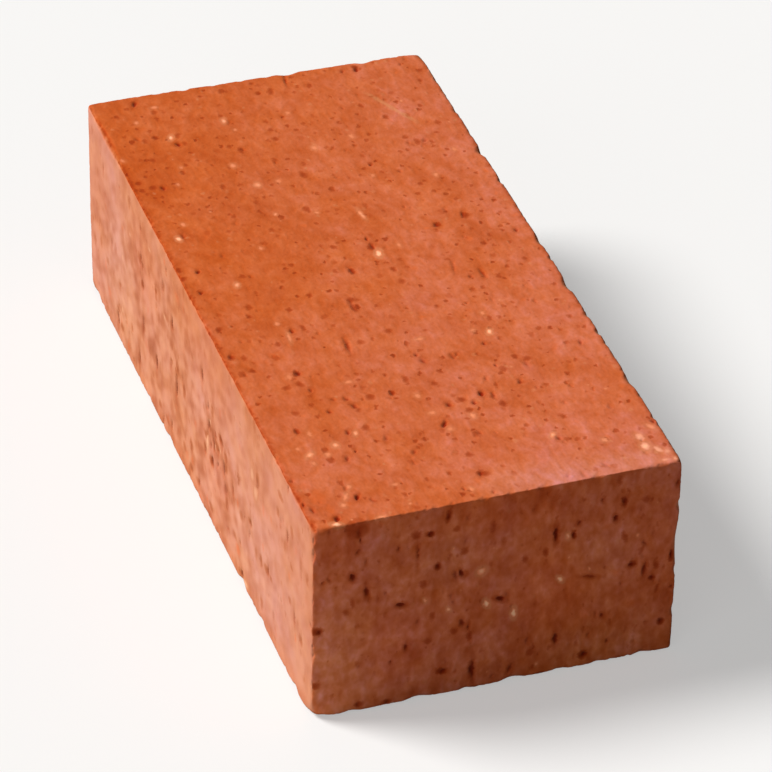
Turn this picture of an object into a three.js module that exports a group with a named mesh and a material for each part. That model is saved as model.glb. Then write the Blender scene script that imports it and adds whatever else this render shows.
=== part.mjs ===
// Solid clay brick, one extruded, wire-cut and fired piece.
//
// Millimetres, +Z up. The origin is the centre of the bottom bed face.
// +X runs along the length, so the header (end) faces are at +X and -X.
// +Y runs across the width, so the stretcher (long side) faces are at +Y and -Y.
// The two bed faces are at Z = 0 and Z = HEIGHT.
//
// All six faces are truly flat. The arrises are eased by handling and firing:
// each is a quarter round with its own usual radius, which wanders a little
// along its length, opens out at a knock, and grows into each rounded corner.

import * as THREE from 'three';

// ---- driving dimensions -------------------------------------------------

const LENGTH = 194;          // header face to header face
const WIDTH = 92;            // stretcher face to stretcher face
const HEIGHT = 57;           // bed face to bed face

const ARRIS_WANDER = 0.1;    // how far an arris's radius drifts along it
const ARC_STEPS = 3;         // facets across an arris
const CORNER_FADE = 5;       // length over which a corner's radius fades into its arrises
const STATION_MAX = 14;      // longest facet along an arris
const STATION_TOL = 0.08;    // how closely the facets follow the changing radius
const RING_MARGIN = 7;       // inset of the first border ring of a face
const FIELD_MARGIN = 15;     // inset of a face's flat field
const FIELD_STEP = 30;       // facet size in that field

// Usual radius of each arris. An arris is named by the axis it runs along and
// the two sides it lies between, in X, Y, Z order (p = plus, m = minus). The
// wire left the top bed's arrises sharper than the ones the brick stood on.
const ARRIS_RADIUS = {
  'x:pp': 0.8, 'x:mp': 0.5, 'x:mm': 0.5, 'x:pm': 1.1,
  'y:pp': 0.4, 'y:mp': 0.7, 'y:pm': 1.1, 'y:mm': 1.1,
  'z:mm': 1.2, 'z:mp': 1.1, 'z:pm': 0.6, 'z:pp': 0.8,
};

// Corner radii, keyed by the sides that meet there: X, Y, then Z.
const CORNER_RADIUS = {
  mmp: 1.1, mpp: 1.5, ppp: 1.1, pmp: 1.8,
  mmm: 1.8, mpm: 2.0, ppm: 1.0, pmm: 2.8,
};

// Knocks on the arrises. `at` is a knock's coordinate along its arris, `r` the
// radius at its deepest, and `reach` how far it spreads each way.
const KNOCKS = {
  'x:pp': [                                       // top bed to +Y stretcher
    { at: -45, r: 2.7, reach: 3.5 },
    { at: -1, r: 1.9, reach: 3 },
    { at: 19, r: 2.5, reach: 4.5 },
    { at: 62, r: 2.1, reach: 4 },
  ],
  'x:mp': [                                       // top bed to -Y stretcher
    { at: -78, r: 1.9, reach: 16 },
    { at: 46, r: 1.2, reach: 4 },
    { at: 84, r: 1.6, reach: 5 },
  ],
  'x:mm': [                                       // bottom bed to -Y stretcher
    { at: 41, r: 2.2, reach: 4 },
    { at: 57, r: 1.6, reach: 3 },
    { at: -90, r: 2.2, reach: 5 },
  ],
  'x:pm': [                                       // bottom bed to +Y stretcher
    { at: -50, r: 2.2, reach: 4 },
    { at: -14, r: 1.8, reach: 3 },
    { at: 36, r: 2.6, reach: 5 },
    { at: 70, r: 1.8, reach: 3 },
  ],
  'y:mp': [                                       // top bed to -X header
    { at: 9, r: 1.9, reach: 3.5 },
    { at: 30, r: 1.9, reach: 3 },
  ],
  'y:mm': [                                       // bottom bed to -X header
    { at: -24, r: 2.2, reach: 4 },
    { at: 6, r: 1.8, reach: 3 },
    { at: 31, r: 2.3, reach: 4 },
  ],
  'y:pp': [                                       // top bed to +X header
    { at: -38, r: 1.1, reach: 4 },
    { at: -4, r: 1.5, reach: 1.8 },
    { at: 39, r: 1.2, reach: 4 },
  ],
  'y:pm': [                                       // bottom bed to +X header
    { at: -19, r: 2.6, reach: 4 },
    { at: 5, r: 2.8, reach: 4 },
    { at: -36, r: 2.0, reach: 3 },
  ],
  'z:mp': [                                       // -X header to +Y stretcher
    { at: 12, r: 1.9, reach: 3 },
    { at: 36, r: 1.7, reach: 3 },
  ],
  'z:pm': [                                       // +X header to -Y stretcher
    { at: 50, r: 1.2, reach: 3 },
    { at: 20, r: 1.7, reach: 3.5 },
  ],
  'z:pp': [                                       // +X header to +Y stretcher
    { at: 32, r: 2.5, reach: 9 },
  ],
};

// ---- the block ----------------------------------------------------------

const LOW = [-LENGTH / 2, -WIDTH / 2, 0];
const HIGH = [LENGTH / 2, WIDTH / 2, HEIGHT];

const positions = [];
const triangles = [];

// Vertices that fall on the same point are one vertex.
const seen = new Map();
function vertex(p) {
  const key = p.map((v) => Math.round(v * 1e5)).join(',');
  if (!seen.has(key)) {
    seen.set(key, positions.length / 3);
    positions.push(p[0], p[1], p[2]);
  }
  return seen.get(key);
}

// Adds a triangle with its front towards `out`.
function triangle(a, b, c, out) {
  if (a === b || b === c || c === a) return;
  const P = [a, b, c].map((i) => new THREE.Vector3().fromArray(positions, i * 3));
  const n = P[1].clone().sub(P[0]).cross(P[2].clone().sub(P[0]));
  if (n.dot(out) >= 0) triangles.push(a, b, c);
  else triangles.push(a, c, b);
}

const axisVector = (axis, sign) => {
  const v = [0, 0, 0];
  v[axis] = sign;
  return v;
};
const letter = (sign) => (sign > 0 ? 'p' : 'm');

function cornerRadius(signs) {
  return CORNER_RADIUS[signs.map(letter).join('')];
}

// The unit direction a fraction i / ARC_STEPS of the way from face a to face b.
function arcDirection(a, b, i) {
  const s = i / ARC_STEPS;
  return new THREE.Vector3().fromArray(a).multiplyScalar(1 - s)
    .add(new THREE.Vector3().fromArray(b).multiplyScalar(s)).normalize();
}

// Radius of one arris at coordinate t on its own axis.
function arrisRadius(edge, t) {
  const phase = 1.7 * edge.axis + 0.9 * edge.signs[0] + 2.3 * edge.signs[1];
  let r = ARRIS_RADIUS[edge.name]
    + ARRIS_WANDER * (0.6 * Math.sin(t * 0.19 + phase) + 0.4 * Math.sin(t * 0.43 + 2 * phase));
  for (const knock of KNOCKS[edge.name] || []) {
    const u = Math.abs(t - knock.at) / knock.reach;
    if (u < 1) r = Math.max(r, r + (knock.r - r) * (1 - u * u) ** 2);
  }
  for (const end of [edge.start, edge.finish]) {
    const u = Math.abs(t - end.at) / CORNER_FADE;
    if (u < 1) r = Math.max(r, r + (end.radius - r) * (1 - u) ** 2);
  }
  return r;
}

// Stations along an arris: close together where the radius changes, far apart elsewhere.
function stations(edge) {
  const step = 0.5;
  const from = edge.start.at;
  const to = edge.finish.at;
  const n = Math.ceil((to - from) / step);
  const ts = Array.from({ length: n + 1 }, (_, i) => from + ((to - from) * i) / n);
  const rs = ts.map((t) => arrisRadius(edge, t));
  rs[0] = edge.start.radius;
  rs[n] = edge.finish.radius;
  const kept = [0];
  const keep = (i, j) => {
    let worst = -1;
    let gap = 0;
    for (let k = i + 1; k < j; k += 1) {
      const s = (ts[k] - ts[i]) / (ts[j] - ts[i]);
      const d = Math.abs(rs[k] - (rs[i] + (rs[j] - rs[i]) * s));
      if (d > gap) {
        gap = d;
        worst = k;
      }
    }
    if (worst > 0 && gap > STATION_TOL) {
      keep(i, worst);
      keep(worst, j);
    } else if (ts[j] - ts[i] > STATION_MAX) {
      const middle = Math.round((i + j) / 2);
      keep(i, middle);
      keep(middle, j);
    } else {
      kept.push(j);
    }
  };
  keep(0, n);
  return kept.map((k) => ({ t: ts[k], r: rs[k] }));
}

// The twelve arrises. `others` are the two axes across an arris, and `rows`
// holds, for each facet line across it, its vertices from start to finish.
const edges = {};
for (let axis = 0; axis < 3; axis += 1) {
  const others = [0, 1, 2].filter((k) => k !== axis);
  for (const s0 of [-1, 1]) {
    for (const s1 of [-1, 1]) {
      const signs = [s0, s1];
      const name = `${'xyz'[axis]}:${signs.map(letter).join('')}`;
      const at = (sign) => {
        const full = [0, 0, 0];
        full[axis] = sign;
        full[others[0]] = s0;
        full[others[1]] = s1;
        const radius = cornerRadius(full);
        return { at: sign > 0 ? HIGH[axis] - radius : LOW[axis] + radius, radius };
      };
      const edge = { axis, others, signs, name, start: at(-1), finish: at(1) };
      edge.stations = stations(edge);
      edge.rows = [];
      for (let i = 0; i <= ARC_STEPS; i += 1) {
        const dir = arcDirection(axisVector(others[0], s0), axisVector(others[1], s1), i);
        edge.rows.push(edge.stations.map(({ t, r }) => {
          const p = [0, 0, 0];
          p[axis] = t;
          others.forEach((k, j) => {
            const side = signs[j] > 0 ? HIGH[k] - r : LOW[k] + r;
            p[k] = side + r * dir.getComponent(k);
          });
          return vertex(p);
        }));
      }
      const out = new THREE.Vector3()
        .setComponent(others[0], s0)
        .setComponent(others[1], s1);
      for (let i = 0; i < ARC_STEPS; i += 1) {
        for (let j = 0; j + 1 < edge.stations.length; j += 1) {
          const [a, b] = [edge.rows[i][j], edge.rows[i][j + 1]];
          const [c, d] = [edge.rows[i + 1][j], edge.rows[i + 1][j + 1]];
          triangle(a, b, d, out);
          triangle(a, d, c, out);
        }
      }
      edges[name] = edge;
    }
  }
}

// The eight corners, each an eighth of a ball.
for (const sx of [-1, 1]) {
  for (const sy of [-1, 1]) {
    for (const sz of [-1, 1]) {
      const signs = [sx, sy, sz];
      const r = cornerRadius(signs);
      const centre = signs.map((s, k) => (s > 0 ? HIGH[k] - r : LOW[k] + r));
      const point = (i, j) => {
        const w = [ARC_STEPS - i - j, i, j];
        const d = new THREE.Vector3(w[0] * sx, w[1] * sy, w[2] * sz).normalize();
        return vertex(centre.map((c, k) => c + r * d.getComponent(k)));
      };
      const out = new THREE.Vector3(sx, sy, sz);
      for (let i = 0; i < ARC_STEPS; i += 1) {
        for (let j = 0; i + j < ARC_STEPS; j += 1) {
          triangle(point(i, j), point(i + 1, j), point(i, j + 1), out);
          if (i + j + 1 < ARC_STEPS) {
            triangle(point(i + 1, j), point(i + 1, j + 1), point(i, j + 1), out);
          }
        }
      }
    }
  }
}

// The six faces. Each has a coarse flat field, and a border in two rings: one
// that follows the arris stations, and one that thins them out to the field.
for (let axis = 0; axis < 3; axis += 1) {
  const [u, v] = [0, 1, 2].filter((k) => k !== axis);
  for (const side of [-1, 1]) {
    const level = side > 0 ? HIGH[axis] : LOW[axis];
    const out = new THREE.Vector3().setComponent(axis, side);
    const at = (k, a, b) => {
      const p = [0, 0, 0];
      p[axis] = level;
      p[k] = a;
      p[u + v - k] = b;
      return vertex(p);
    };
    const inset = (k, s, d) => (s > 0 ? HIGH[k] - d : LOW[k] + d);
    const ticks = (k) => {
      const lo = inset(k, -1, FIELD_MARGIN);
      const hi = inset(k, 1, FIELD_MARGIN);
      const n = Math.max(1, Math.round((hi - lo) / FIELD_STEP));
      return Array.from({ length: n + 1 }, (_, i) => lo + ((hi - lo) * i) / n);
    };
    const us = ticks(u);
    const vs = ticks(v);
    for (let i = 0; i + 1 < us.length; i += 1) {
      for (let j = 0; j + 1 < vs.length; j += 1) {
        const [a, b] = [at(u, us[i], vs[j]), at(u, us[i + 1], vs[j])];
        const [c, d] = [at(u, us[i], vs[j + 1]), at(u, us[i + 1], vs[j + 1])];
        triangle(a, b, d, out);
        triangle(a, d, c, out);
      }
    }
    // `run` is the axis the arris lies along, and `across` the one towards it.
    for (const [run, across, field] of [[u, v, us], [v, u, vs]]) {
      for (const s of [-1, 1]) {
        const others = [0, 1, 2].filter((k) => k !== run);
        const sign = { [axis]: side, [across]: s };
        const edge = edges[`${'xyz'[run]}:${others.map((k) => letter(sign[k])).join('')}`];
        const outer = others[0] === axis ? edge.rows[0] : edge.rows[ARC_STEPS];
        const from = inset(run, -1, RING_MARGIN);
        const to = inset(run, 1, RING_MARGIN);
        const ring = edge.stations.map(({ t }) => {
          const w = (t - edge.start.at) / (edge.finish.at - edge.start.at);
          const along = from + (to - from) * w;
          return { t: along, id: at(run, along, inset(across, s, RING_MARGIN)) };
        });
        for (let i = 0; i + 1 < ring.length; i += 1) {
          triangle(outer[i], outer[i + 1], ring[i + 1].id, out);
          triangle(outer[i], ring[i + 1].id, ring[i].id, out);
        }
        const inner = field.map((t) => ({ t, id: at(run, t, inset(across, s, FIELD_MARGIN)) }));
        let a = 0;
        let b = 0;
        while (a + 1 < ring.length || b + 1 < inner.length) {
          const stepRing = b + 1 >= inner.length
            || (a + 1 < ring.length && ring[a + 1].t + ring[a].t <= inner[b + 1].t + inner[b].t);
          if (stepRing) {
            triangle(ring[a].id, ring[a + 1].id, inner[b].id, out);
            a += 1;
          } else {
            triangle(ring[a].id, inner[b + 1].id, inner[b].id, out);
            b += 1;
          }
        }
      }
    }
  }
}

const geometry = new THREE.BufferGeometry();
geometry.setAttribute('position', new THREE.Float32BufferAttribute(positions, 3));
geometry.setIndex(triangles);
geometry.computeVertexNormals();

// Fired red clay: matt and slightly porous.
const firedClay = new THREE.MeshStandardMaterial({
  color: 0xc46f4a,
  roughness: 0.92,
  metalness: 0,
});

const brick = new THREE.Mesh(geometry, firedClay);
brick.name = 'brick';

const object = new THREE.Group();
object.add(brick);

export default object;
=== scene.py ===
import math

import bpy
import numpy as np
from mathutils import Matrix, Vector


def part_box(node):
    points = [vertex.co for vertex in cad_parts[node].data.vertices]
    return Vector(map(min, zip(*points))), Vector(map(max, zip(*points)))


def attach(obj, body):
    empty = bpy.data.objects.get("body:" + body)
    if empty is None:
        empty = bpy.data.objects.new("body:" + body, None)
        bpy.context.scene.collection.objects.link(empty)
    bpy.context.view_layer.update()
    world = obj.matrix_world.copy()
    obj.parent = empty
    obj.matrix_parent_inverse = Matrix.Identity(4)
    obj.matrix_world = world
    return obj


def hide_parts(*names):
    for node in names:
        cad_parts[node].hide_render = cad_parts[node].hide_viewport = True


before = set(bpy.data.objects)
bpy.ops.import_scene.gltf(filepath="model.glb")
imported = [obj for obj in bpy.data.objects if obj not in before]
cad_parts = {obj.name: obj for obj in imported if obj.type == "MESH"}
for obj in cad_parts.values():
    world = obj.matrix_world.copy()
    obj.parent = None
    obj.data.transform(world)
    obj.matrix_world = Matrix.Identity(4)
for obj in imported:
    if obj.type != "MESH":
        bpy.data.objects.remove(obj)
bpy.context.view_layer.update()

# ---------------------------------------------------------------------------
# The brick. All the shaping is done in millimetres, in the CAD's own frame:
# +X is one header, -Y the front stretcher, +Z the top bed.
# ---------------------------------------------------------------------------

low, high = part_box("brick")
LOW = np.array(low) * 1000.0
HIGH = np.array(high) * 1000.0

# name, axis of its normal, side, and the two axes its marks are placed by
FACES = (
    ("top", 2, 1, 0, 1),
    ("bottom", 2, -1, 0, 1),
    ("front", 1, -1, 0, 2),
    ("back", 1, 1, 0, 2),
    ("head", 0, 1, 1, 2),
    ("tail", 0, -1, 1, 2),
)
FACE_ID = {f[0]: i for i, f in enumerate(FACES)}

# ---- noise ----------------------------------------------------------------


class Noise:
    """Smooth gradient noise in three dimensions, about -1 to 1."""

    def __init__(self, seed):
        rng = np.random.default_rng(seed)
        g = rng.normal(size=(256, 3))
        self.g = g / np.linalg.norm(g, axis=1, keepdims=True)
        self.perm = rng.permutation(256)

    def __call__(self, p):
        i = np.floor(p).astype(np.int64)
        f = p - i
        w = f * f * f * (f * (f * 6 - 15) + 10)
        out = np.zeros(len(p))
        for dx in (0, 1):
            hx = self.perm[(i[:, 0] + dx) & 255]
            wx = w[:, 0] if dx else 1 - w[:, 0]
            for dy in (0, 1):
                hy = self.perm[(hx + i[:, 1] + dy) & 255]
                wy = wx * (w[:, 1] if dy else 1 - w[:, 1])
                for dz in (0, 1):
                    hz = self.perm[(hy + i[:, 2] + dz) & 255]
                    wz = wy * (w[:, 2] if dz else 1 - w[:, 2])
                    g = self.g[hz]
                    out += wz * (
                        g[:, 0] * (f[:, 0] - dx)
                        + g[:, 1] * (f[:, 1] - dy)
                        + g[:, 2] * (f[:, 2] - dz)
                    )
        return out * 1.7

    def fbm(self, p, octaves=3, gain=0.5):
        total = np.zeros(len(p))
        amp, norm, q = 1.0, 0.0, np.array(p, float)
        for _ in range(octaves):
            total += amp * self(q)
            norm += amp
            amp *= gain
            q = q * 2.03 + 17.3
        return total / norm


def smooth(x, a, b):
    t = np.clip((x - a) / (b - a), 0, 1)
    return t * t * (3 - 2 * t)


# ---- arrises and corners --------------------------------------------------

ARRIS_RADIUS = {
    "x:pp": 0.8, "x:mp": 0.5, "x:mm": 0.5, "x:pm": 1.1,
    "y:pp": 0.4, "y:mp": 0.7, "y:pm": 1.1, "y:mm": 1.1,
    "z:mm": 1.2, "z:mp": 1.1, "z:pm": 0.6, "z:pp": 0.8,
}
ARRIS_WANDER = 0.1
CORNER_FADE = 5.0
CORNER_RADIUS = {
    "mmp": 1.1, "mpp": 1.5, "ppp": 1.1, "pmp": 1.8,
    "mmm": 1.8, "mpm": 2.0, "ppm": 1.0, "pmm": 2.8,
}
# The CAD's knocks, as (place along the arris, radius, reach). The last few in
# a row are small extra nicks that the CAD leaves out.
KNOCKS = {
    "x:pp": ((-45, 2.7, 3.5), (-1, 1.9, 3), (19, 2.5, 4.5), (62, 2.1, 4),
             (-30, 1.6, 2), (33, 1.6, 1.6), (41, 1.7, 2), (7, 1.6, 1.5), (78, 1.5, 1.5), (-66, 1.5, 2)),
    "x:mp": ((-78, 1.9, 16), (46, 1.2, 4), (84, 1.6, 5),
             (-38, 1.0, 2.5), (-12, 0.9, 2), (12, 1.2, 2.5), (27, 0.9, 2), (68, 1.0, 2)),
    "x:mm": ((41, 2.2, 4), (57, 1.6, 3), (-90, 2.2, 5), (-60, 1.1, 2), (-22, 1.6, 3), (14, 0.9, 2), (84, 1.8, 3)),
    "x:pm": ((-50, 2.2, 4), (-14, 1.8, 3), (36, 2.6, 5), (70, 1.8, 3)),
    "y:mp": ((9, 1.9, 3.5), (30, 1.9, 3), (-20, 1.0, 2), (-4, 1.2, 1.5)),
    "y:mm": ((-24, 2.2, 4), (6, 1.8, 3), (31, 2.3, 4)),
    "y:pp": ((-38, 1.1, 4), (-4, 1.5, 1.8), (39, 1.2, 4),
             (2.5, 1.1, 1.4), (-24, 0.8, 1.5), (-12, 0.8, 1.6), (10, 0.7, 1.5), (24, 0.9, 2.0)),
    "y:pm": ((-19, 2.6, 4), (5, 2.8, 4), (-36, 2.0, 3), (-7, 1.8, 2), (17, 2.0, 3), (27, 1.8, 2.5), (38, 2.2, 3)),
    "z:mm": ((18, 1.3, 3), (44, 1.3, 3)),
    "z:mp": ((12, 1.9, 3), (36, 1.7, 3)),
    "z:pm": ((50, 1.2, 3), (20, 1.7, 3.5), (8, 1.2, 2), (30, 1.0, 2.5), (40, 0.9, 2)),
    "z:pp": ((32, 2.5, 9), (44, 1.8, 2), (24, 1.9, 2), (12, 1.8, 2.5)),
}


def letter(sign):
    return "p" if sign > 0 else "m"


def arris_radius(axis, s0, s1, t, rough):
    """The radius of one arris at each t along it. rough, from 0 up, opens it out a little."""
    others = [k for k in (0, 1, 2) if k != axis]
    phase = 1.7 * axis + 0.9 * s0 + 2.3 * s1
    name = "xyz"[axis] + ":" + letter(s0) + letter(s1)
    r = ARRIS_RADIUS[name] + ARRIS_WANDER * (
        0.6 * np.sin(t * 0.19 + phase) + 0.4 * np.sin(t * 0.43 + 2 * phase)
    )
    for at, knock, reach in KNOCKS[name]:
        u = np.abs(t - at) / reach
        r = np.where(u < 1, np.maximum(r, r + (knock - r) * (1 - np.minimum(u, 1) ** 2) ** 2), r)
    for sign in (-1, 1):
        signs = [0, 0, 0]
        signs[axis], signs[others[0]], signs[others[1]] = sign, s0, s1
        corner = CORNER_RADIUS["".join(letter(s) for s in signs)] + 0.15
        end = HIGH[axis] - corner if sign > 0 else LOW[axis] + corner
        u = np.maximum((end - t) * sign, 0) / CORNER_FADE
        r = np.where(u < 1, np.maximum(r, r + (corner - r) * (1 - np.minimum(u, 1)) ** 2), r)
        rough = rough * smooth(u * CORNER_FADE, 0.3, 3.0)
    return r + rough * min(1.0, ARRIS_RADIUS[name] ** 2)


# ---- pits, tears, grains --------------------------------------------------
# Marks are placed on a face by its two axes, in millimetres:
# (a, b, half length, half width, degrees from the first axis, depth)

PITS = {
    "top": (
        (94, -39, 1.2, 0.65, -20, 0.9), (87.5, -32, 1.25, 0.6, -25, 0.9), (66, -3, 1.8, 0.55, -30, 0.7),
        (57, 9.5, 1.1, 0.65, -10, 0.9), (59, 0.5, 1.0, 0.75, 0, 0.6), (60, 6.5, 0.8, 0.55, -20, 0.6),
        (58.5, 12, 1.5, 0.45, 0, 0.45), (55, 20, 1.2, 0.55, -10, 0.5), (48.5, 24, 1.7, 0.6, 5, 0.35),
        (40, 0.5, 1.4, 0.65, 10, 0.45), (40, 9, 1.2, 0.5, -40, 0.4), (37.5, 17, 0.9, 0.6, 0, 0.55),
        (8.5, 27, 2.4, 0.6, 0, 0.45), (3.5, 21, 3.6, 0.4, -12, 0.3), (-15.5, 23, 1.3, 0.6, -20, 0.5),
        (-18, 31, 1.8, 0.5, -20, 0.45), (-11, 4.5, 1.5, 0.55, 0, 0.5), (-2.5, -4, 2.0, 0.55, 10, 0.4),
        (12, -8.5, 2.4, 0.6, 0, 0.4), (28.5, -15, 4.0, 0.6, -4, 0.45), (36, -30, 1.0, 0.65, -25, 0.6),
        (24.5, -43.5, 1.0, 0.6, -20, 0.5), (58.5, -37.5, 1.1, 0.55, -5, 0.4), (72.5, -29.5, 1.4, 0.6, -20, 0.5),
        (89.5, -43.5, 1.2, 0.5, 5, 0.5), (87.5, -1.5, 1.3, 0.45, -20, 0.5), (79.5, 21, 0.9, 0.7, 0, 0.5),
        (-93, -34, 1.5, 0.6, -25, 0.7), (-71, -28.5, 1.0, 0.65, 0, 0.7), (-52, -38, 1.1, 0.65, 0, 0.6),
        (-29.5, -39.5, 1.6, 0.5, -5, 0.45), (-13, -40.5, 0.9, 0.55, -15, 0.6), (-93, 27, 1.2, 0.6, -25, 0.6),
        (-54, 33, 1.3, 0.7, -40, 0.35), (-93.5, 7.5, 3.2, 0.35, -8, 0.5), (50.5, -11, 1.3, 0.5, -10, 0.4),
    ),
    "front": (
        (7.5, 40, 2.4, 0.6, 94, 0.7), (-15.5, 21, 3.4, 0.55, 88, 0.7), (-70, 6.5, 2.4, 0.6, 96, 0.7),
        (-45.5, 21, 3.2, 0.5, 90, 0.5), (-33.5, 16.5, 2.6, 0.55, 91, 0.7), (-49.5, 7.5, 3.0, 0.45, 88, 0.6),
        (-19, 38.5, 2.4, 0.5, 90, 0.7), (-47, 40, 2.8, 0.45, 91, 0.5), (-27, 44.5, 2.2, 0.45, 92, 0.5),
        (40.5, 2.5, 1.5, 0.8, 80, 0.8), (53.5, 39, 2.4, 0.45, 90, 0.5), (62, 20, 2.0, 0.5, 92, 0.5),
        (-75, 27, 2.0, 0.45, 89, 0.4), (4, 5, 1.8, 0.5, 90, 0.5), (-45.5, 32.5, 2.0, 0.45, 90, 0.5),
        (-20, 25.5, 2.0, 0.45, 92, 0.4), (95.3, 28, 1.2, 0.5, 90, 0.4), (48, 23.5, 1.9, 0.4, 90, 0.4),
        # the rough patch
        (13, 29, 2.0, 0.5, 70, 0.6), (17.5, 26, 2.4, 0.5, 96, 0.7), (16, 20, 1.8, 0.6, 84, 0.7),
        (23.5, 31, 2.6, 0.45, 120, 0.5), (25.5, 24.5, 2.6, 0.8, 92, 0.6), (10, 19.5, 1.5, 0.5, 98, 0.5),
        (20.5, 22, 1.5, 0.5, 60, 0.5), (27, 19, 2.2, 0.5, 92, 0.5), (12.5, 34, 1.4, 0.5, 40, 0.4),
        (15, 24, 1.2, 0.35, 80, 0.5), (19, 30, 1.3, 0.35, 100, 0.5), (21.5, 26.5, 1.1, 0.35, 78, 0.5), (12, 26, 1.2, 0.35, 92, 0.45),
    ),
    "head": (
        (14.5, 42, 2.1, 0.5, 92, 1.0), (-5.5, 6, 3.2, 0.45, 91, 0.8), (-36, 41, 1.15, 0.65, 112, 1.0),
        (1, 26, 1.2, 0.65, -25, 1.0), (15.5, 10.5, 1.8, 0.65, 89, 0.8), (-24, 30, 1.25, 0.65, -8, 0.9),
        (-9, 36, 1.2, 0.55, 108, 0.9), (37.5, 26.5, 2.2, 0.5, 85, 0.6), (-32.5, 36, 1.7, 0.55, 96, 0.7),
        (-8.5, 21, 1.5, 0.65, 105, 0.6), (29.5, 43.5, 1.0, 0.6, 97, 0.8), (-22.5, 17, 1.2, 0.5, 91, 0.6),
        (-20, 44.5, 2.5, 0.3, 89, 0.5), (23.5, 27.5, 2.1, 0.45, -14, 0.5), (4, 4, 1.6, 0.6, 76, 0.5),
        (34, 28.5, 0.8, 0.7, 0, 0.7), (23, 4, 0.8, 0.6, 0, 0.6), (-34.5, 53.5, 1.4, 0.5, 93, 0.4),
        (-17, 49.5, 0.7, 0.55, 0, 0.6), (19, 41, 0.8, 0.4, 95, 0.6), (-15, 39.5, 0.7, 0.55, 130, 0.6),
        (44.3, 29.5, 1.2, 0.4, 88, 0.6), (-13, 7.5, 0.8, 0.6, 0, 0.5), (31.5, 48, 1.1, 0.45, 76, 0.5),
        (-44, 26.5, 0.8, 0.45, 110, 0.6), (42.5, 9.5, 0.8, 0.5, 100, 0.5), (39.5, 23.5, 0.7, 0.5, 90, 0.6),
        (-12.5, 53.5, 1.1, 0.4, 88, 0.5),
    ),
}

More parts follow.
